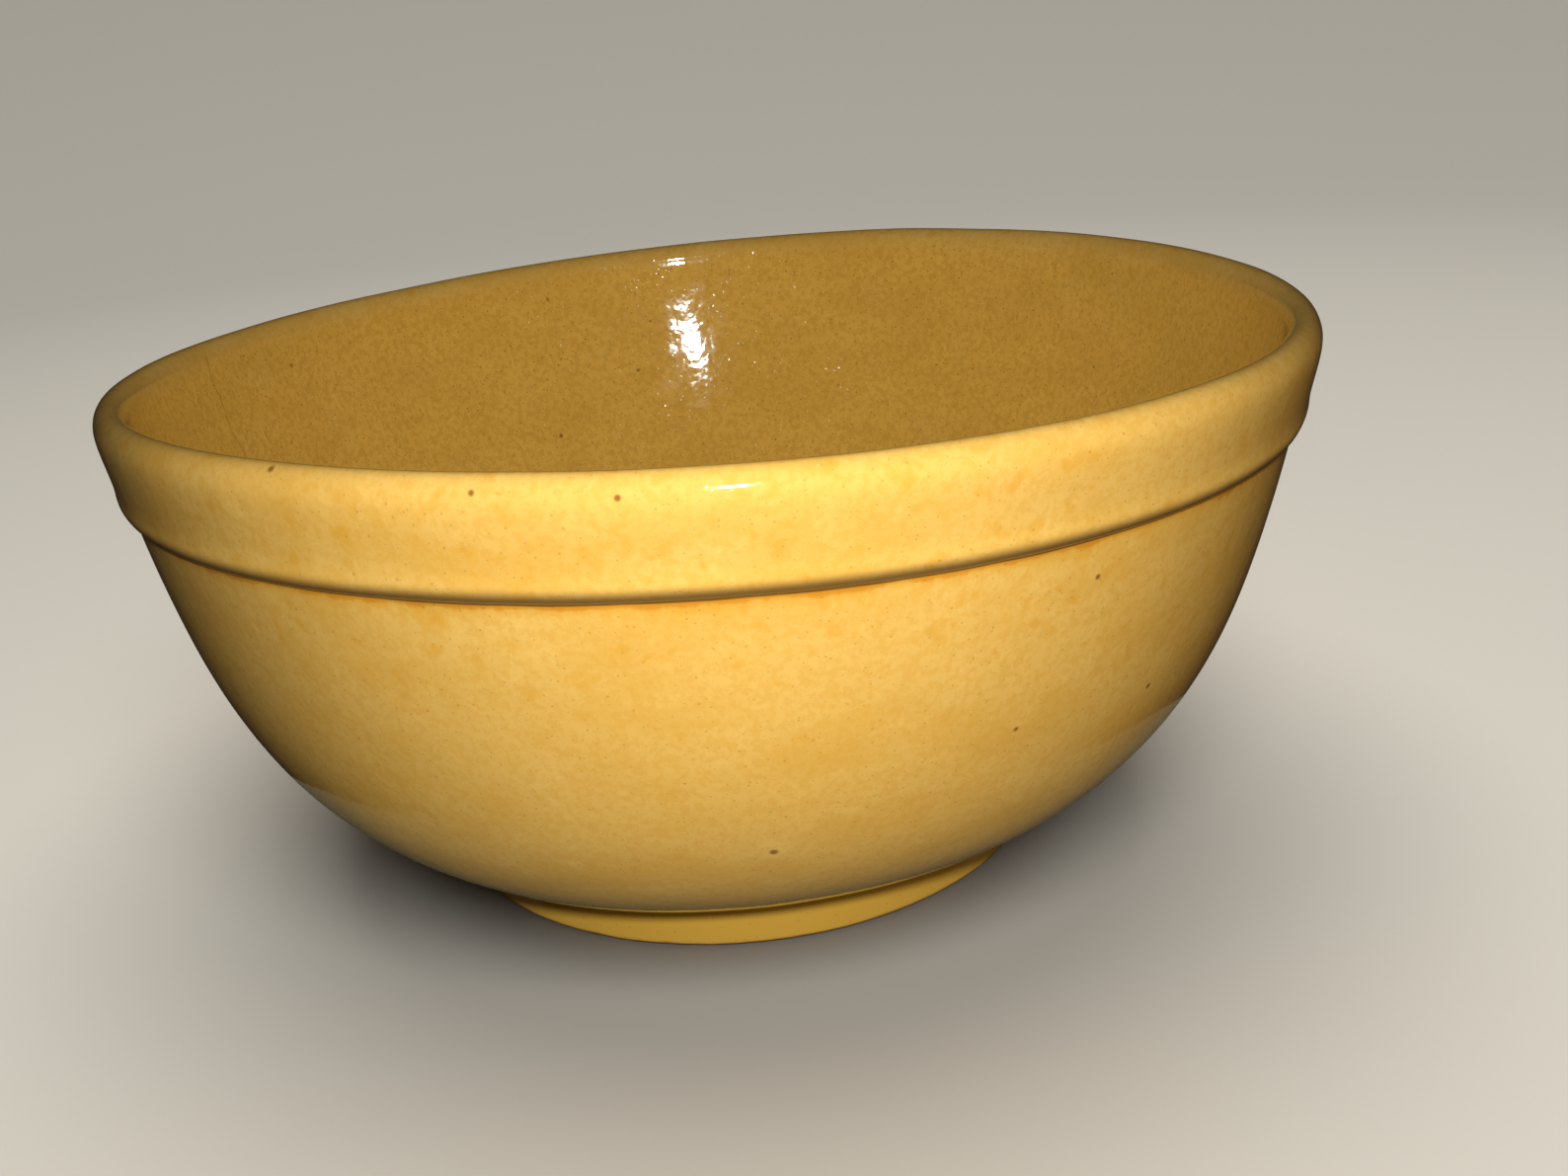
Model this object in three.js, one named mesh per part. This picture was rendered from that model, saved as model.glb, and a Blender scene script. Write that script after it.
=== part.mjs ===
// A large yellow ware mixing bowl: one piece of fired clay, shaped on a turntable and glazed.
// It is a solid of revolution about +Z, in millimetres, standing on z = 0.
// The origin is the centre of the circle that the foot ring stands on.

import * as THREE from "three";

// Driving dimensions. The other sizes hang on these three.
const RIM_RADIUS = 178;
const HEIGHT = 160;
const FOOT_RADIUS = 94;

// The lip is a rounded edge as wide as the wall, with its widest point LIP_RISE below the top.
const LIP_WIDTH = 8.5;
const LIP_RISE = 6.5;

// The collar is a band round the rim, a little narrower at its lower edge than at the lip.
// That edge is rounded in to a crease, where the body starts.
const COLLAR_DEPTH = 27.3;
const COLLAR_TAPER = 2.6;
const COLLAR_EDGE_STEP = 3.4;
const COLLAR_EDGE_RISE = 5.5;

// The body starts nearly upright and swings in to a gentle slope above the foot.
// Each reach says how far its end of the curve holds its direction.
const BODY_TOP_LEAN = THREE.MathUtils.degToRad(11);
const BODY_TOP_REACH = 80;
const BODY_BASE_SLOPE = THREE.MathUtils.degToRad(21);
const BODY_BASE_REACH = 46.5;
const BODY_BASE_HEIGHT = 12.8;
const BODY_BASE_INSET = 1.5;

// The foot ring flares from a neck under the body to the edge that it stands on.
const FOOT_EDGE_ROUND = 1.5;
const FOOT_RING_WIDTH = 11.5;
const FOOT_LEAN = THREE.MathUtils.degToRad(12);
const FOOT_REACH = 5;
const NECK_REACH = 4;

// Inside the foot ring, the underside is a shallow round recess.
const RECESS_HEIGHT = 4.5;
const RECESS_ROUND = 3;
const RECESS_EDGE_ROUND = 1;

// The inside is one smooth curve from the lip to a floor that is flat only at its centre.
const FLOOR_HEIGHT = 14;
const INSIDE_LEAN = THREE.MathUtils.degToRad(12);
const INSIDE_REACH = 80;
const FLOOR_REACH = 148;

const TURN_STEPS = 72;

// A profile point: its distance from the axis and its height.
function at(radius, height) {
  return new THREE.Vector2(radius, height);
}

// The point a given distance from another, along a direction measured up from level.
function along(point, direction, distance) {
  return at(point.x + distance * Math.cos(direction), point.y + distance * Math.sin(direction));
}

// Part of an ellipse, swept from one angle to another, in quarter turns up from level outwards.
function arc(centre, width, height, startQuarter, endQuarter) {
  const start = (startQuarter * Math.PI) / 2;
  const end = (endQuarter * Math.PI) / 2;
  return new THREE.EllipseCurve(centre.x, centre.y, width, height, start, end, end < start);
}

// Strings curves together. Where one ends away from the next one's start, a straight line joins them.
function outline(stretches) {
  const points = [];
  for (const { curve, steps } of stretches) {
    const stretch = curve.getPoints(steps);
    const meetsLast = points.length > 0 && points.at(-1).distanceTo(stretch[0]) < 1e-6;
    points.push(...stretch.slice(meetsLast ? 1 : 0));
  }
  return points;
}

function underside() {
  const recessRadius = FOOT_RADIUS - FOOT_RING_WIDTH;
  const corner = at(recessRadius - RECESS_ROUND, RECESS_HEIGHT - RECESS_ROUND);
  const innerEdge = at(recessRadius + RECESS_EDGE_ROUND, RECESS_EDGE_ROUND);
  const outerEdge = at(FOOT_RADIUS - FOOT_EDGE_ROUND, FOOT_EDGE_ROUND);
  return [
    { curve: arc(corner, RECESS_ROUND, RECESS_ROUND, 1, 0), steps: 3 },
    { curve: arc(innerEdge, RECESS_EDGE_ROUND, RECESS_EDGE_ROUND, 2, 3), steps: 2 },
    { curve: arc(outerEdge, FOOT_EDGE_ROUND, FOOT_EDGE_ROUND, 3, 4), steps: 3 },
  ];
}

function outside() {
  const crease = HEIGHT - COLLAR_DEPTH;
  const bodyTop = at(RIM_RADIUS - COLLAR_TAPER - COLLAR_EDGE_STEP, crease);
  const collarEdge = at(bodyTop.x, crease + COLLAR_EDGE_RISE);

  const footTop = at(FOOT_RADIUS, FOOT_EDGE_ROUND);
  const bodyBase = at(FOOT_RADIUS - BODY_BASE_INSET, BODY_BASE_HEIGHT);

  const foot = new THREE.CubicBezierCurve(
    footTop,
    along(footTop, Math.PI / 2 + FOOT_LEAN, FOOT_REACH),
    along(bodyBase, BODY_BASE_SLOPE, -NECK_REACH),
    bodyBase,
  );
  const body = new THREE.CubicBezierCurve(
    bodyBase,
    along(bodyBase, BODY_BASE_SLOPE, BODY_BASE_REACH),
    along(bodyTop, Math.PI / 2 - BODY_TOP_LEAN, -BODY_TOP_REACH),
    bodyTop,
  );
  return [
    { curve: foot, steps: 6 },
    { curve: body, steps: 13 },
    { curve: arc(collarEdge, COLLAR_EDGE_STEP, COLLAR_EDGE_RISE, 3, 4), steps: 5 },
  ];
}

function lip() {
  const centre = at(RIM_RADIUS - LIP_WIDTH / 2, HEIGHT - LIP_RISE);
  return [{ curve: arc(centre, LIP_WIDTH / 2, LIP_RISE, 0, 2), steps: 8 }];
}

function inside() {
  const lipFoot = at(RIM_RADIUS - LIP_WIDTH, HEIGHT - LIP_RISE);
  const floor = at(0, FLOOR_HEIGHT);
  const wall = new THREE.CubicBezierCurve(
    lipFoot,
    along(lipFoot, Math.PI / 2 - INSIDE_LEAN, -INSIDE_REACH),
    along(floor, 0, FLOOR_REACH),
    floor,
  );
  return [{ curve: wall, steps: 16 }];
}

// The profile runs out along the underside, up the outside, over the lip and down the inside.
const profile = [at(0, RECESS_HEIGHT), ...outline([...underside(), ...outside(), ...lip(), ...inside()])];

const turned = new THREE.LatheGeometry(profile, TURN_STEPS);
turned.rotateX(Math.PI / 2);

const yellowGlaze = new THREE.MeshStandardMaterial({ color: "#d6a74a", roughness: 0.15, metalness: 0 });

const bowl = new THREE.Mesh(turned, yellowGlaze);
bowl.name = "bowl";

const mixingBowl = new THREE.Group();
mixingBowl.add(bowl);

export default mixingBowl;
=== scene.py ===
"""A large yellow ware mixing bowl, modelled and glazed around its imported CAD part.

The bowl is one mesh: a finely stepped profile turned about +Z, then warped a little, as firing warps such
bowls. Sizes in the profile and the patterns are in millimetres, and places in the scene are in metres.
"""

import math

import bpy
import numpy as np
from mathutils import Matrix, Vector, noise


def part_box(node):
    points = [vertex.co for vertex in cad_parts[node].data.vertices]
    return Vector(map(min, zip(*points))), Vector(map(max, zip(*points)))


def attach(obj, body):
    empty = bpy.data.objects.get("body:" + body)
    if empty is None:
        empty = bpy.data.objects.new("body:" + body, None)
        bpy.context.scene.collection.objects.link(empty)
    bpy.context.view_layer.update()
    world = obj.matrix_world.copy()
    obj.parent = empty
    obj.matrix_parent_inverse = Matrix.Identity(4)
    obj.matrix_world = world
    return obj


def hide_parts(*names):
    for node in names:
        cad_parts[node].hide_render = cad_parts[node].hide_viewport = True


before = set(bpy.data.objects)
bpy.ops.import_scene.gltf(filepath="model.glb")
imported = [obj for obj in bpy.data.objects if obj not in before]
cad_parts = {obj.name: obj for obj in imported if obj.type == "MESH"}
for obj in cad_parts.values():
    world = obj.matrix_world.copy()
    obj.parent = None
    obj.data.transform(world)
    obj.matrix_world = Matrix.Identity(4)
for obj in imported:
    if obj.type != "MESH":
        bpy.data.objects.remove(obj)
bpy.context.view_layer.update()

MM = 0.001

# ------------------------------------------------------------------ driving sizes

bowl_low, bowl_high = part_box("bowl")
RIM_RADIUS = (bowl_high.x - bowl_low.x) / 2 / MM
HEIGHT = (bowl_high.z - bowl_low.z) / MM
FOOT_RADIUS = 94

# The lip, the collar and the height where the body starts are about 1 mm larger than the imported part's.
LIP_WIDTH = 9.3
LIP_RISE = 6.5

COLLAR_DEPTH = 28.2
COLLAR_TAPER = 2.6
COLLAR_EDGE_STEP = 3.4
COLLAR_EDGE_RISE = 5.5
COLLAR_REACH = 4
CREASE_ROUND = 0.6

BODY_TOP_LEAN = math.radians(11)
BODY_TOP_REACH = 80
BODY_BASE_SLOPE = math.radians(21)
BODY_BASE_REACH = 46.5
BODY_BASE_HEIGHT = 13.8
BODY_BASE_INSET = 1.5

FOOT_EDGE_ROUND = 1.5
FOOT_RING_WIDTH = 11.5
FOOT_LEAN = math.radians(12)
FOOT_REACH = 5
NECK_REACH = 4

RECESS_HEIGHT = 4.5
RECESS_ROUND = 3
RECESS_EDGE_ROUND = 1

FLOOR_HEIGHT = 14
INSIDE_LEAN = math.radians(12)
INSIDE_REACH = 80
FLOOR_REACH = 148

# How far the rim strays from true, and the way each warp faces in degrees round from +X.
# WARP_POWER says how the warp grows with height, from nothing at the foot.
OVAL, OVAL_FACING = 3.4, -61
WAVE, WAVE_FACING = 1.9, 58
TILT, TILT_FACING = 2.4, -62
RIM_LIFT = 1.0
WARP_POWER = 1.5

# How uneven the surface is: wavelength and height of each layer.
UNEVEN_LAYERS = ((55, 0.30), (19, 0.07))

# Faint rings inside, left by turning, that start a little below the lip.
THROWING_STEP = 8.5
THROWING_HEIGHT = 0.02
THROWING_DRIFT = 40
THROWING_START = 10
THROWING_EASE = 20

# The bead of glaze in the crease under the collar, and the size of the runs along it.
POOL_WIDTH = 0.9
POOL_HEIGHT = 0.25
RUN_SIZE = [9, 9, 30]

# The foot's lowest part stays flat and true, so that the bowl stands still.
TRUE_HEIGHT = 1.5
TRUE_EASE = 8

TURN_STEPS = 288


# ------------------------------------------------------------------ profile

def along(point, direction, distance):
    """The point at a distance from another, along a direction measured up from level."""
    return point + distance * np.array([math.cos(direction), math.sin(direction)])


def bezier(a, b, c, d):
    t = np.linspace(0, 1, 401)[:, None]
    return (1 - t) ** 3 * a + 3 * (1 - t) ** 2 * t * b + 3 * (1 - t) * t ** 2 * c + t ** 3 * d


def arc(centre, width, height, start_quarter, end_quarter):
    angle = np.linspace(start_quarter, end_quarter, 201) * math.pi / 2
    return centre + np.column_stack([width * np.cos(angle), height * np.sin(angle)])


def line(start, end):
    return np.array([start, end], dtype=float)


def lengths_along(points):
    return np.concatenate([[0], np.cumsum(np.hypot(*np.diff(points, axis=0).T))])


def stepped(curve, steps, cut_start=0, cut_end=0):
    """A curve cut into even steps, leaving a length off its start or its end."""
    lengths = lengths_along(curve)
    wanted = np.linspace(cut_start, lengths[-1] - cut_end, steps + 1)
    return np.column_stack([np.interp(wanted, lengths, curve[:, axis]) for axis in (0, 1)])


def profile():
    """The whole profile as points (radius, height), and the index where each named stretch starts."""
    recess_radius = FOOT_RADIUS - FOOT_RING_WIDTH
    recess_corner = np.array([recess_radius - RECESS_ROUND, RECESS_HEIGHT - RECESS_ROUND])
    inner_edge = np.array([recess_radius + RECESS_EDGE_ROUND, RECESS_EDGE_ROUND])
    outer_edge = np.array([FOOT_RADIUS - FOOT_EDGE_ROUND, FOOT_EDGE_ROUND])
    foot_top = np.array([FOOT_RADIUS, FOOT_EDGE_ROUND])
    body_base = np.array([FOOT_RADIUS - BODY_BASE_INSET, BODY_BASE_HEIGHT])
    crease = np.array([RIM_RADIUS - COLLAR_TAPER - COLLAR_EDGE_STEP, HEIGHT - COLLAR_DEPTH])
    collar_edge = crease + [0, COLLAR_EDGE_RISE]
    collar_foot = collar_edge + [COLLAR_EDGE_STEP, 0]
    lip_centre = np.array([RIM_RADIUS - LIP_WIDTH / 2, HEIGHT - LIP_RISE])
    lip_outer = lip_centre + [LIP_WIDTH / 2, 0]
    lip_inner = lip_centre - [LIP_WIDTH / 2, 0]
    floor = np.array([0, FLOOR_HEIGHT])
    upright = math.pi / 2

    foot_curve = bezier(
        foot_top,
        along(foot_top, upright + FOOT_LEAN, FOOT_REACH),
        along(body_base, BODY_BASE_SLOPE, -NECK_REACH),
        body_base,
    )
    body_curve = bezier(
        body_base,
        along(body_base, BODY_BASE_SLOPE, BODY_BASE_REACH),
        along(crease, upright - BODY_TOP_LEAN, -BODY_TOP_REACH),
        crease,
    )
    collar_curve = bezier(
        collar_foot,
        collar_foot + [0, COLLAR_REACH],
        lip_outer - [0, COLLAR_REACH],
        lip_outer,
    )
    inside_curve = bezier(
        lip_inner,
        along(lip_inner, upright - INSIDE_LEAN, -INSIDE_REACH),
        along(floor, 0, FLOOR_REACH),
        floor,
    )
    body = stepped(body_curve, 92, cut_end=CREASE_ROUND)
    edge = stepped(arc(collar_edge, COLLAR_EDGE_STEP, COLLAR_EDGE_RISE, 3, 4), 14, cut_start=CREASE_ROUND)
    fillet = bezier(body[-1], (body[-1] + 2 * crease) / 3, (edge[0] + 2 * crease) / 3, edge[0])
    stretches = {
        "recess": stepped(line([0, RECESS_HEIGHT], recess_corner + [0, RECESS_ROUND]), 20),
        "recess_corner": stepped(arc(recess_corner, RECESS_ROUND, RECESS_ROUND, 1, 0), 8),
        "inner_edge": stepped(arc(inner_edge, RECESS_EDGE_ROUND, RECESS_EDGE_ROUND, 2, 3), 6),
        "ring": stepped(line(inner_edge - [0, RECESS_EDGE_ROUND], outer_edge - [0, FOOT_EDGE_ROUND]), 8),
        "outer_edge": stepped(arc(outer_edge, FOOT_EDGE_ROUND, FOOT_EDGE_ROUND, 3, 4), 8),
        "foot": stepped(foot_curve, 22),
        "body": body,
        "crease": stepped(fillet, 8),
        "collar_edge": edge,
        "collar": stepped(collar_curve, 12),
        "lip": stepped(arc(lip_centre, LIP_WIDTH / 2, LIP_RISE, 0, 2), 22),
        "inside": stepped(inside_curve, 110),
    }
    points, starts = [], {}
    for name, stretch in stretches.items():
        meets_last = bool(points) and np.hypot(*(points[-1] - stretch[0])) < 1e-6
        starts[name] = len(points) - meets_last
        points.extend(stretch[int(meets_last):])
    return np.array(points), starts


# ------------------------------------------------------------------ mesh

def warped(radius, height, turn):
    """Radius and height after the warp, which grows towards the rim."""
    grow = np.clip(height / HEIGHT, 0, None) ** WARP_POWER
    oval = np.cos(2 * (turn - math.radians(OVAL_FACING)))
    wave = np.cos(2 * (turn - math.radians(WAVE_FACING)))
    tilt = np.cos(turn - math.radians(TILT_FACING))
    lift = RIM_LIFT + WAVE * wave + TILT * tilt * radius / RIM_RADIUS
    return radius * (1 + grow * oval * OVAL / RIM_RADIUS), height + grow * lift


def unevenness(radius, height, turn, arc_length, places):
    """How far each point stands proud of the true surface, in millimetres."""
    proud = np.zeros_like(radius)
    spots = np.column_stack([
        (radius * np.cos(turn)).ravel(),
        (radius * np.sin(turn)).ravel(),
        height.ravel(),
    ])
    for wavelength, rise in UNEVEN_LAYERS:
        waves = [noise.noise(spot) for spot in spots / wavelength]
        proud += rise * np.array(waves).reshape(radius.shape)
    drift = np.array([noise.noise(spot) for spot in spots / THROWING_DRIFT]).reshape(radius.shape)
    thrown = np.clip((arc_length - places["inside"] - THROWING_START) / THROWING_EASE, 0, 1)
    rings = np.sin(2 * math.pi * arc_length / THROWING_STEP + 5 * drift)
    proud += thrown * THROWING_HEIGHT * rings
    runs = np.array([noise.noise(spot) for spot in spots / RUN_SIZE]).reshape(radius.shape)
    pool = np.exp(-((arc_length - places["crease"] - 0.5) / POOL_WIDTH) ** 2)
    proud += POOL_HEIGHT * pool * np.clip(0.45 + 1.2 * runs, 0, 1)
    return proud * np.clip((height - TRUE_HEIGHT) / TRUE_EASE, 0, 1)


def turned_mesh(name, points, arc_length, places):
    """A closed mesh of revolution. Its first and last profile points lie on the axis."""
    rings = len(points) - 2
    slope = np.gradient(points, axis=0)
    slope /= np.hypot(*slope.T)[:, None]
    normals = np.column_stack([slope[:, 1], -slope[:, 0]])[1:-1]

    turn = (np.arange(TURN_STEPS) * 2 * math.pi / TURN_STEPS)[:, None] * np.ones(rings)
    ring_length = np.ones((TURN_STEPS, 1)) * arc_length[1:-1]
    radius, height = (np.ones((TURN_STEPS, 1)) * points[1:-1, axis] for axis in (0, 1))
    proud = unevenness(radius, height, turn, ring_length, places)
    radius, height = warped(radius + proud * normals[:, 0], height + proud * normals[:, 1], turn)
    grid = np.stack([radius * np.cos(turn), radius * np.sin(turn), height], axis=-1)
    poles = [[0, 0, points[0, 1]], [0, 0, points[-1, 1]]]
    vertices = np.concatenate([grid.reshape(-1, 3), poles]) * MM
    first_pole, last_pole = len(vertices) - 2, len(vertices) - 1

    faces = []
    for step in range(TURN_STEPS):
        here, there = step * rings, (step + 1) % TURN_STEPS * rings
        faces.append((first_pole, there, here))
        faces.extend((here + i, there + i, there + i + 1, here + i + 1) for i in range(rings - 1))
        faces.append((here + rings - 1, there + rings - 1, last_pole))

    mesh = bpy.data.meshes.new(name)
    mesh.from_pydata(vertices.tolist(), [], faces)
    mesh.update()
    mesh.shade_smooth()
    attribute = mesh.attributes.new("arc_mm", "FLOAT", "POINT")
    lengths = np.concatenate([ring_length.ravel(), arc_length[[0, -1]]])
    attribute.data.foreach_set("value", lengths.astype(np.float32))
    return mesh


def make_bowl():
    points, starts = profile()
    arc_length = lengths_along(points)
    places = {name: float(arc_length[index]) for name, index in starts.items()}
    mesh = turned_mesh("glazed_bowl", points, arc_length, places)
    bowl = bpy.data.objects.new("glazed_bowl", mesh)
    bpy.context.scene.collection.objects.link(bowl)
    return bowl, places


# ------------------------------------------------------------------ node words

class Graph:
    """Short words for building a material's nodes."""

    def __init__(self, material):
        material.use_nodes = True
        self.tree = material.node_tree
        self.tree.nodes.clear()

    def node(self, kind, inputs, **settings):
        made = self.tree.nodes.new(kind)
        for key, value in settings.items():
            setattr(made, key, value)
        for key, value in inputs.items():
            if isinstance(value, bpy.types.NodeSocket):
                self.tree.links.new(value, made.inputs[key])
            else:
                made.inputs[key].default_value = value
        return made

    def math(self, operation, a, b=0.0):
        return self.node("ShaderNodeMath", {0: a, 1: b}, operation=operation).outputs[0]

    def times(self, a, b):
        return self.math("MULTIPLY", a, b)

    def ramp(self, value, low, high, bottom=0.0, top=1.0):
        """Eases from bottom to top as value goes from low to high. Low may be the larger."""
        inputs = {"Value": value, "From Min": low, "From Max": high, "To Min": bottom, "To Max": top}
        return self.node("ShaderNodeMapRange", inputs, interpolation_type="SMOOTHSTEP").outputs[0]

    def by_side(self, inside, values):
        """The first of two values outside the bowl and the second inside it."""
        return self.ramp(inside, 0, 1, *values)

    def mix(self, share, a, b):
        return self.node("ShaderNodeMix", {0: share, 6: a, 7: b}, data_type="RGBA").outputs[2]

    def noise(self, place, wavelength, detail=2.0, roughness=0.5):
        inputs = {"Vector": place, "Scale": 1 / wavelength, "Detail": detail, "Roughness": roughness}
        return self.node("ShaderNodeTexNoise", inputs).outputs[0]

    def stretched(self, place, factors):
        return self.node("ShaderNodeVectorMath", {0: place, 1: factors}, operation="MULTIPLY").outputs[0]

    def spots(self, place, cell, radius, share):
        """Round spots of mixed sizes, one at most in each cell, in a share of the cells."""
        inputs = {"Vector": place, "Scale": 1 / cell}
        voronoi = self.node("ShaderNodeTexVoronoi", inputs)
        luck = self.node("ShaderNodeSeparateColor", {0: voronoi.outputs["Color"]})
        kept = self.math("LESS_THAN", luck.outputs[0], share)
        edge = self.ramp(luck.outputs[1], 0, 1, 0.45 * radius / cell, radius / cell)
        core = self.times(edge, 0.5)
        return self.times(kept, self.ramp(voronoi.outputs["Distance"], edge, core))

    def near(self, place, centre, radius, soft):
        """1 within a radius of a place in millimetres, easing to 0 over a soft edge."""
        inputs = {0: place, 1: centre}
        away = self.node("ShaderNodeVectorMath", inputs, operation="DISTANCE").outputs["Value"]
        return self.ramp(away, radius + soft, max(radius - soft, 0))

    def most(self, values):
        top = values[0]
        for value in values[1:]:
            top = self.math("MAXIMUM", top, value)
        return top


def on_bowl(radius, turn_degrees, height):
    turn = math.radians(turn_degrees)
    return (radius * math.cos(turn), radius * math.sin(turn), height)


# ------------------------------------------------------------------ glaze

GLAZE = (0.59, 0.366, 0.086, 1)
DEEP_GLAZE = (0.53, 0.285, 0.038, 1)
INSIDE_GLAZE = (0.70, 0.395, 0.064, 1)
THIN_GLAZE = (0.65, 0.425, 0.115, 1)
AMBER = (0.54, 0.262, 0.020, 1)
POOLED = (0.44, 0.150, 0.010, 1)
# Partly thinner, greener glaze and partly painted shade and a painted reflection of the shaded floor, low
# on the body.
OLIVE_THIN_GLAZE_AND_SHADE = (0.27, 0.180, 0.045, 1)
FOOT_GLAZE = (0.39, 0.228, 0.032, 1)
# Painted shade: a dark olive for the collar's underside, where the collar's own overhang shades it.
PAINTED_SHADE_OLIVE = (0.115, 0.058, 0.016, 1)
SPECK = (0.17, 0.058, 0.008, 1)
CLAY = (0.46, 0.330, 0.170, 1)
STAINED_CLAY = (0.11, 0.055, 0.022, 1)

# Larger iron specks: turn in degrees, height, distance from the axis, radius.
IRON_SPECKS = (
    (-106.4, 161, 177, 0.7),
    (-96.5, 159.5, 178.6, 0.7),
    (-123.5, 163, 173.5, 0.9),
    (-61, 123, 172, 0.7),
    (-66.5, 86, 161, 0.7),
    (-50, 82, 160, 0.8),
    (-88, 60.5, 149.5, 1.0),
    (111, 144.5, 170.5, 0.8),
    (100, 113, 161, 0.8),
    (113, 92.5, 155.5, 0.8),
    (150.5, 141.5, 168.5, 0.8),
)

# Amber stains where the glaze ran thick: turn in degrees, height, distance from the axis, radius.
STAINS = (
    (-107.5, 149, 176.6, 3.2),
    (-98.5, 148, 177.3, 4.0),
    (-117, 150, 176, 5.0),
    (-122, 152, 175.6, 4.0),
    (-112, 131, 171, 5.0),
    (-113, 123, 169, 4.0),
    (-55.5, 136, 177, 5.0),
)

CRACK_TURN = 165
OUTER_CRACK_TURN = -51.5

# The wavelength of each pattern, and how strongly it shows, outside and then inside.
DRIFT_SIZE, DRIFT_SHARE = 34, (0.42, 0.30)
THIN_SIZE, THIN_SHARE = 13, (0.40, 0.20)
MOTTLE_SIZE, MOTTLE_SHARE = 2.2, (0.42, 0.60)
GRAIN_SIZE, GRAIN_SHARE = 0.8, (0.16, 0.45)
FINE_SPECK_SHARE = (0.28, 0.60)
SMALL_SPECK_SHARE = (0.35, 0.75)
LARGE_SPECK_SHARE = 0.85
CRACK_SHARE = 0.40

# Blotches ease in between these two distances below the crease.
BLOTCH_SIZE, BLOTCH_SHARE = 6.0, 0.42
BLOTCH_START, BLOTCH_FULL = 60, 10
STAIN_SHARE = 0.62

# Distances along the profile from the crease, where down is negative. The pool's reach varies
# between its two values, and every other pair is an edge that eases from nothing to full.
POOL_REACH = (-0.8, -2.3)
POOL_TOP = (2.2, 0.6)
SOFT_POOL_SHARE = 0.45
# The painted shade on the collar's underside eases in between the next pair of distances.
UNDER_COLLAR_SHADE_TOP = (6.6, 3.2)
UNDER_COLLAR_SHADE_SHARE = 0.85

# Distances above the start of the body and of the foot, between which each tint eases in.
# The low-body tint is partly thinner glaze and partly painted shade and a painted reflection of the
# shaded floor.
LOW_BODY_TOP = (40, 4)
LOW_BODY_FOOT = (0, 8)
LOW_BODY_SHADE_SHARE = 0.80
FOOT_TINT = (5, -1)
GLAZE_STOP = 0.7

# Heights of the surface's detail, outside and then inside where the two differ.
SWELL_HEIGHT = (0.12, 0.10)
PEEL_HEIGHT = (0.04, 0.07)
PIT_HEIGHT = (0.012, 0.08)
RIPPLE_HEIGHT = 0.006
SPECK_HEIGHT = 0.004
CLAY_GRIT_HEIGHT = 0.20
CRACK_DEPTH = 0.05

GLAZE_ROUGHNESS = (0.04, 0.08)
CLAY_ROUGHNESS = 0.65


def hairline(g, place, turn_degrees, radius, low, high, width):
    """A hairline crack that wanders down the wall at one turn, between two heights."""
    turn = math.radians(turn_degrees)
    axes = g.node("ShaderNodeSeparateXYZ", {0: place})
    x, y, z = axes.outputs
    across = g.math("SUBTRACT", g.times(y, math.cos(turn)), g.times(x, math.sin(turn)))
    facing = g.math("ADD", g.times(x, math.cos(turn)), g.times(y, math.sin(turn)))
    wander = g.times(g.math("SUBTRACT", g.noise(place, 14, 3), 0.5), 9)
    away = g.math("ABSOLUTE", g.math("ADD", across, wander))
    wall = g.times(g.math("GREATER_THAN", facing, radius), g.ramp(z, low, low + 12))
    return g.times(g.times(wall, g.ramp(z, high, high - 4)), g.ramp(away, width, width / 4))


def glaze_colour(g, place, inside):
    """Broad drifts of glaze thickness, then thin patches, a mottle and a fine grain."""
    flat_place = g.stretched(place, (1, 1, 2.2))
    drift = g.ramp(g.noise(flat_place, DRIFT_SIZE, 3), 0.40, 0.68)
    base = g.mix(inside, GLAZE, INSIDE_GLAZE)
    colour = g.mix(g.times(drift, g.by_side(inside, DRIFT_SHARE)), base, DEEP_GLAZE)
    thin = g.ramp(g.noise(place, THIN_SIZE, 4, 0.6), 0.52, 0.72)
    colour = g.mix(g.times(thin, g.by_side(inside, THIN_SHARE)), colour, THIN_GLAZE)
    mottle = g.ramp(g.noise(place, MOTTLE_SIZE, 4, 0.65), 0.42, 0.62)
    colour = g.mix(g.times(mottle, g.by_side(inside, MOTTLE_SHARE)), colour, DEEP_GLAZE)
    grain = g.ramp(g.noise(place, GRAIN_SIZE, 2, 0.6), 0.5, 0.75)
    return g.mix(g.times(grain, g.by_side(inside, GRAIN_SHARE)), colour, AMBER)


def with_stains(g, colour, place, arc_mm, inside, places):
    """Amber blotches on and near the collar, and the listed stains with ragged edges."""
    outside = g.math("SUBTRACT", 1.0, inside)
    crease = places["crease"]
    near_collar = g.times(outside, g.ramp(arc_mm, crease - BLOTCH_START, crease - BLOTCH_FULL))
    blotch = g.ramp(g.noise(place, BLOTCH_SIZE, 2.5, 0.5), 0.56, 0.72)
    colour = g.mix(g.times(g.times(blotch, near_collar), BLOTCH_SHARE), colour, AMBER)
    ragged = g.ramp(g.noise(place, 2.8, 3, 0.6), 0.35, 0.6)
    stains = [g.near(place, on_bowl(r, turn, z), size * 0.55, size * 0.6) for turn, z, r, size in STAINS]
    return g.mix(g.times(g.times(g.most(stains), ragged), STAIN_SHARE), colour, AMBER)


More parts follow.
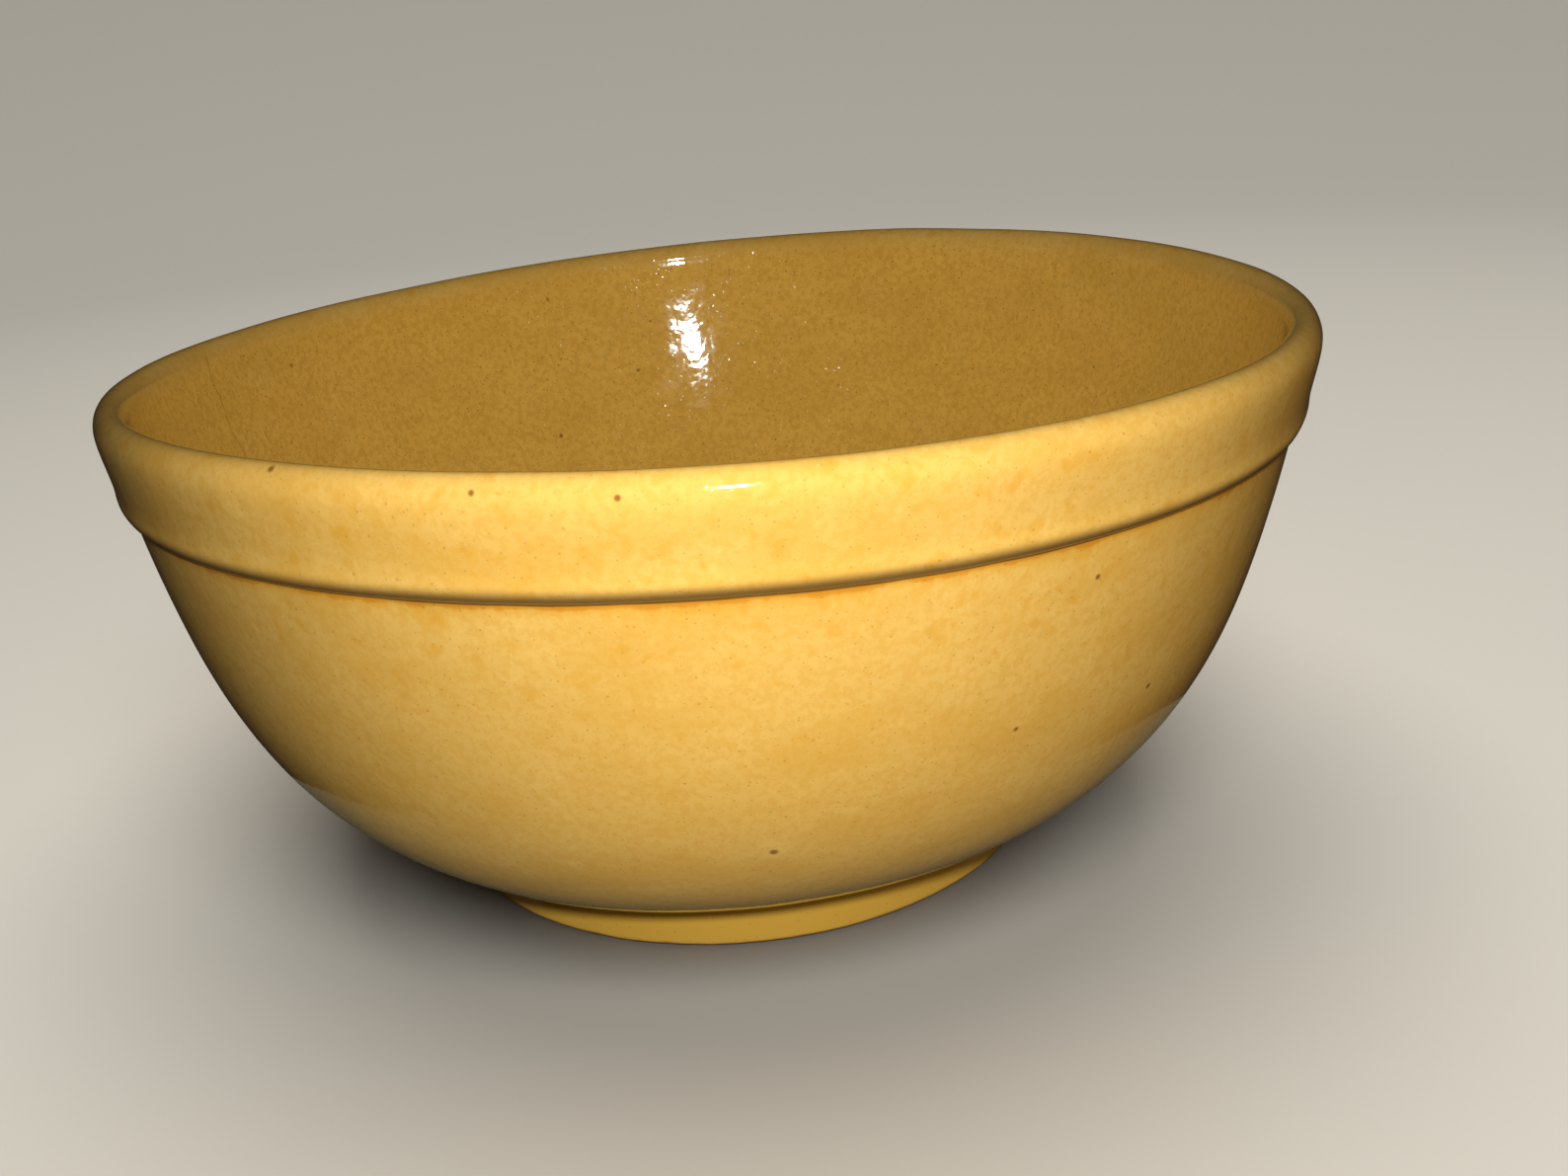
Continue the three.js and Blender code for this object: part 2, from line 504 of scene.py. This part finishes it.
def with_pooled_glaze_and_painted_shade(g, colour, place, arc_mm, places):
    """Glaze pooled in the crease, in runs of mixed depth, and painted shade in a dark band on the
    collar's underside.
    """
    from_crease = g.math("SUBTRACT", arc_mm, places["crease"])
    runs = g.noise(g.stretched(place, (1, 1, 0.3)), 6.0, 3, 0.6)
    reach = g.ramp(runs, 0.40, 0.72, *POOL_REACH)
    above = g.ramp(from_crease, *POOL_TOP)
    pool = g.times(above, g.ramp(from_crease, reach, g.times(reach, 0.25)))
    colour = g.mix(g.times(pool, g.ramp(runs, 0.3, 0.65, 0.60, 1.0)), colour, POOLED)
    soft_pool = g.times(above, g.ramp(from_crease, g.times(reach, 3.2), g.times(reach, 0.5)))
    colour = g.mix(g.times(soft_pool, SOFT_POOL_SHARE), colour, AMBER)
    # Painted shade: the collar's underside, just above the crease, is darkened to olive.
    painted_shade_under_collar = g.times(g.ramp(from_crease, *UNDER_COLLAR_SHADE_TOP), g.ramp(from_crease, -0.2, 0.4))
    return g.mix(g.times(painted_shade_under_collar, UNDER_COLLAR_SHADE_SHARE), colour, PAINTED_SHADE_OLIVE)


def with_low_body(g, colour, arc_mm, places):
    """Thinner, greener glaze with painted shade and a painted reflection of the shaded floor low on the
    body, and the browner glaze of the foot.
    """
    body, foot_start = places["body"], places["foot"]
    # Partly thinner glaze, partly painted shade and a painted reflection of the shaded floor on the
    # downward-facing low body.
    thin_glaze_and_painted_shade = g.times(
        g.ramp(g.math("SUBTRACT", arc_mm, body), *LOW_BODY_TOP),
        g.ramp(g.math("SUBTRACT", arc_mm, foot_start), *LOW_BODY_FOOT),
    )
    colour = g.mix(g.times(thin_glaze_and_painted_shade, LOW_BODY_SHADE_SHARE), colour, OLIVE_THIN_GLAZE_AND_SHADE)
    return g.mix(g.ramp(g.math("SUBTRACT", arc_mm, body), *FOOT_TINT), colour, FOOT_GLAZE)


def iron_specks(g, place, inside):
    """Specks in three sizes. The fine and small ones are random, and the large ones are listed."""
    fine = g.times(g.spots(place, 1.7, 0.42, 0.7), g.by_side(inside, FINE_SPECK_SHARE))
    small = g.times(g.spots(place, 5.5, 0.5, 0.6), g.by_side(inside, SMALL_SPECK_SHARE))
    large = [g.near(place, on_bowl(r, turn, z), size, size * 0.55) for turn, z, r, size in IRON_SPECKS]
    return g.most([fine, small, g.times(g.most(large), LARGE_SPECK_SHARE)])


def hairline_cracks(g, place):
    return g.most([
        hairline(g, place, CRACK_TURN, radius=120, low=112, high=158, width=0.35),
        g.times(hairline(g, place, OUTER_CRACK_TURN, radius=120, low=40, high=80, width=0.30), 0.5),
    ])


def with_bare_clay(g, colour, place, arc_mm, places):
    """Bare clay under the foot, with a wavy stained edge where the glaze stops. Also its mask."""
    edge_wander = g.times(g.math("SUBTRACT", g.noise(place, 11, 3), 0.5), 1.6)
    edge_arc = g.math("ADD", arc_mm, edge_wander)
    glaze_start = places["foot"] - GLAZE_STOP
    bare_outer = g.ramp(edge_arc, glaze_start + 0.15, glaze_start - 0.15)
    bare_inner = g.ramp(edge_arc, places["inner_edge"] + 0.2, places["inner_edge"] + 0.6)
    bare = g.times(bare_outer, bare_inner)
    worn = g.ramp(g.noise(place, 5, 4, 0.65), 0.4, 0.65)
    stain = g.ramp(g.math("ABSOLUTE", g.math("SUBTRACT", edge_arc, glaze_start)), 1.1, 0.2)
    clay = g.mix(g.math("MAXIMUM", g.times(worn, 0.6), stain), CLAY, STAINED_CLAY)
    glaze_edge = g.ramp(edge_arc, glaze_start + 0.8, glaze_start)
    colour = g.mix(g.times(glaze_edge, 0.7), colour, STAINED_CLAY)
    return g.mix(bare, colour, clay), bare


def surface_height(g, place, inside, specks, cracks, bare):
    """Height in millimetres: swell, orange peel, ripple, pits, specks and cracks, or gritty clay."""
    swell = g.times(g.noise(place, 11, 1.5, 0.4), g.by_side(inside, SWELL_HEIGHT))
    peel = g.times(g.noise(place, 3.4, 1, 0.5), g.by_side(inside, PEEL_HEIGHT))
    ripple = g.times(g.noise(place, 1.2, 1, 0.5), RIPPLE_HEIGHT)
    pits = g.times(g.spots(place, 2.0, 0.75, 0.75), g.by_side(inside, PIT_HEIGHT))
    details = g.math("ADD", ripple, g.math("ADD", pits, g.times(specks, SPECK_HEIGHT)))
    smooth = g.math("ADD", g.math("ADD", swell, peel), details)
    gritty = g.times(g.noise(place, 0.9, 3, 0.7), CLAY_GRIT_HEIGHT)
    height = g.math("ADD", g.times(smooth, g.math("SUBTRACT", 1.0, bare)), g.times(gritty, bare))
    return g.math("SUBTRACT", height, g.times(cracks, CRACK_DEPTH))


def glaze_material(places):
    material = bpy.data.materials.new("yellow_glaze")
    g = Graph(material)
    coordinates = g.node("ShaderNodeTexCoord", {}).outputs["Object"]
    place = g.stretched(coordinates, (1 / MM, 1 / MM, 1 / MM))
    arc_mm = g.node("ShaderNodeAttribute", {}, attribute_name="arc_mm").outputs["Fac"]
    inside = g.ramp(arc_mm, places["inside"] - 6, places["inside"] + 4)

    colour = glaze_colour(g, place, inside)
    colour = with_stains(g, colour, place, arc_mm, inside, places)
    colour = with_pooled_glaze_and_painted_shade(g, colour, place, arc_mm, places)
    colour = with_low_body(g, colour, arc_mm, places)
    specks = iron_specks(g, place, inside)
    colour = g.mix(specks, colour, SPECK)
    cracks = hairline_cracks(g, place)
    colour = g.mix(g.times(cracks, CRACK_SHARE), colour, SPECK)
    colour, bare = with_bare_clay(g, colour, place, arc_mm, places)

    height = surface_height(g, place, inside, specks, cracks, bare)
    bump = g.node("ShaderNodeBump", {"Strength": 1.0, "Distance": MM, "Height": height})
    gloss = g.ramp(g.noise(place, 9, 3), 0.35, 0.7, *GLAZE_ROUGHNESS)
    shader = g.node("ShaderNodeBsdfPrincipled", {
        "Base Color": colour,
        "Roughness": g.math("ADD", gloss, g.times(bare, CLAY_ROUGHNESS)),
        "Normal": bump.outputs[0],
        "IOR": 1.5,
    })
    g.node("ShaderNodeOutputMaterial", {"Surface": shader.outputs[0]})
    return material


# ------------------------------------------------------------------ stage, lights and camera

FLOOR_RADIUS = 0.30
SHEET_STEPS = 96

# A dark card on the floor, which only the glaze's reflections see. It stands in for the floor in the
# bowl's shade and gives a painted reflection of shade.
CARD_RADIUS = 0.17
CARD_HEIGHT = 0.0004

# The floor turns up into a far wall.
FLAT_RADIUS = 1.4
SWEEP_RADIUS = 1.6
SWEEP_TOP = 3.0

FLOOR_COLOUR = (0.42, 0.395, 0.345, 1)
CARD_COLOUR = (0.09, 0.082, 0.052, 1)


def floor_material():
    material = bpy.data.materials.new("pale_floor")
    g = Graph(material)
    shader = g.node("ShaderNodeBsdfPrincipled", {"Base Color": FLOOR_COLOUR, "Roughness": 0.75})
    g.node("ShaderNodeOutputMaterial", {"Surface": shader.outputs[0]})
    return material


def card_material():
    material = bpy.data.materials.new("olive_card")
    g = Graph(material)
    shader = g.node("ShaderNodeBsdfDiffuse", {"Color": CARD_COLOUR})
    g.node("ShaderNodeOutputMaterial", {"Surface": shader.outputs[0]})
    return material


def round_sheet(name, outline, material):
    """A sheet of revolution about +Z from its profile. One that starts on a ring stays open there."""
    closed = outline[0][0] == 0
    rings = outline[1:] if closed else outline
    vertices, faces = [], []
    for radius, height in rings:
        for step in range(SHEET_STEPS):
            turn = 2 * math.pi * step / SHEET_STEPS
            vertices.append((radius * math.cos(turn), radius * math.sin(turn), height))
    if closed:
        faces.append(tuple(range(SHEET_STEPS)))
    for ring in range(len(rings) - 1):
        for step in range(SHEET_STEPS):
            here = ring * SHEET_STEPS + step
            there = ring * SHEET_STEPS + (step + 1) % SHEET_STEPS
            faces.append((here, here + SHEET_STEPS, there + SHEET_STEPS, there))
    mesh = bpy.data.meshes.new(name)
    mesh.from_pydata(vertices, [], faces)
    mesh.shade_smooth()
    mesh.materials.append(material)
    sheet = bpy.data.objects.new(name, mesh)
    bpy.context.scene.collection.objects.link(sheet)
    sheet.visible_diffuse = False
    return sheet


def make_stage():
    """A pale floor round the bowl, a sweep from its edge up to a far wall, and the dark card."""
    pale = floor_material()
    floor = round_sheet("floor", [(0, 0), (FLOOR_RADIUS / 2, 0), (FLOOR_RADIUS, 0)], pale)
    floor.visible_glossy = False

    card_outline = [(radius, CARD_HEIGHT) for radius in (0, CARD_RADIUS / 2, CARD_RADIUS)]
    card = round_sheet("card", card_outline, card_material())
    card.visible_camera = False
    card.visible_shadow = False

    curve = [
        (FLAT_RADIUS + SWEEP_RADIUS * math.sin(angle), SWEEP_RADIUS * (1 - math.cos(angle)))
        for angle in np.linspace(0, math.pi / 2, 13)
    ]
    backdrop_outline = [(FLOOR_RADIUS, 0), *curve, (FLAT_RADIUS + SWEEP_RADIUS, SWEEP_TOP)]
    backdrop = round_sheet("backdrop", backdrop_outline, pale)
    backdrop.visible_glossy = False
    return floor, backdrop, card


WARM = (1.0, 0.78, 0.50)
WHITE = (1.0, 1.0, 1.0)
GLOW_COLOUR = (1.0, 0.72, 0.46, 1)
GLOW_STRENGTH = 0.025

# The key is a small lamp just above the camera.
KEY_OFFSET = Vector((0.002, 0, 0.030))
KEY_SIZE = 0.03
KEY_POWER = 2.55

ORIGIN = (0, 0, 0)
MIDDLE = (0, 0, HEIGHT * MM / 2)
FOOT = (0, 0, 0.02)
BEHIND = (0, 0.4, 0)

# Soft lights: name, place, target, size across in metres, power in watts, colour.
BOWL_FILLS = (
    ("back_right", (0.49, 1.2, 0.07), MIDDLE, 0.24, 12.0, WHITE),
    ("back_left", (-0.49, 1.2, 0.07), MIDDLE, 0.24, 12.0, WHITE),
    ("back_above", (0, 1.6, 1.2), MIDDLE, 0.6, 4.5, WHITE),
    ("side", (0.95, -0.9, 0.12), MIDDLE, 0.5, 1.8, WARM),
    ("low", (0.1, -0.7, 0.06), FOOT, 0.3, 0.6, WARM),
)
STAGE_LIGHTS = (
    ("overhead", (0, 0.4, 2.6), BEHIND, 2.6, 85.0, WHITE),
    ("front", (0.2, -1.5, 1.5), ORIGIN, 1.2, 42.0, WHITE),
)


def lit_group(name, pieces):
    """A collection that a light can be limited to."""
    collection = bpy.data.collections.new(name)
    for piece in pieces:
        collection.objects.link(piece)
    return collection


def area_light(name, place, target, size, power, colour, group, mirrored=False):
    """A round light that shines on one group only. Only the key is mirrored in the glaze."""
    data = bpy.data.lights.new(name, "AREA")
    data.shape = "DISK"
    data.size = size
    data.energy = power
    data.color = colour
    light = bpy.data.objects.new(name, data)
    light.location = place
    light.rotation_mode = "QUATERNION"
    light.rotation_quaternion = (Vector(target) - Vector(place)).to_track_quat("-Z", "Y")
    bpy.context.scene.collection.objects.link(light)
    light.visible_glossy = mirrored
    light.light_linking.receiver_collection = group


def make_world():
    world = bpy.data.worlds.new("studio")
    world.use_nodes = True
    background = world.node_tree.nodes["Background"]
    background.inputs["Color"].default_value = GLOW_COLOUR
    background.inputs["Strength"].default_value = GLOW_STRENGTH
    bpy.context.scene.world = world


def make_lights(camera_place, bowl, floor, backdrop, card):
    on_bowl = lit_group("on_bowl_only", [bowl])
    on_stage = lit_group("on_stage_only", [floor, backdrop, card])
    by_key = lit_group("on_bowl_and_card", [bowl, card])
    key_place = camera_place + KEY_OFFSET
    area_light("key", key_place, MIDDLE, KEY_SIZE, KEY_POWER, WHITE, by_key, mirrored=True)
    for fill in BOWL_FILLS:
        area_light(*fill, on_bowl)
    for light in STAGE_LIGHTS:
        area_light(*light, on_stage)


# The camera's place in rim radii from the origin, how it is turned in radians, and its lens in mm.
CAMERA_BACK = 2.7241
CAMERA_UP = 1.4079
CAMERA_YAW = 0.0374
CAMERA_PITCH = 0.3531
CAMERA_ROLL = 0.0783
CAMERA_LENS = 36.73


def make_camera():
    forward = Vector((
        math.sin(CAMERA_YAW) * math.cos(CAMERA_PITCH),
        math.cos(CAMERA_YAW) * math.cos(CAMERA_PITCH),
        -math.sin(CAMERA_PITCH),
    ))
    level = Vector((math.cos(CAMERA_YAW), -math.sin(CAMERA_YAW), 0))
    upright = level.cross(forward)
    right = math.cos(CAMERA_ROLL) * level - math.sin(CAMERA_ROLL) * upright
    up = math.cos(CAMERA_ROLL) * upright + math.sin(CAMERA_ROLL) * level
    data = bpy.data.cameras.new("camera")
    data.lens = CAMERA_LENS
    camera = bpy.data.objects.new("camera", data)
    place = Vector((0, -CAMERA_BACK, CAMERA_UP)) * RIM_RADIUS * MM
    turned = Matrix((right, up, -forward)).transposed().to_4x4()
    camera.matrix_world = Matrix.Translation(place) @ turned
    bpy.context.scene.collection.objects.link(camera)
    bpy.context.scene.camera = camera
    return place


# ------------------------------------------------------------------ scene

bowl, places = make_bowl()
bowl.data.materials.append(glaze_material(places))
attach(bowl, "root")
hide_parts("bowl")

make_world()
make_lights(make_camera(), bowl, *make_stage())
bpy.context.scene.view_settings.view_transform = "Standard"
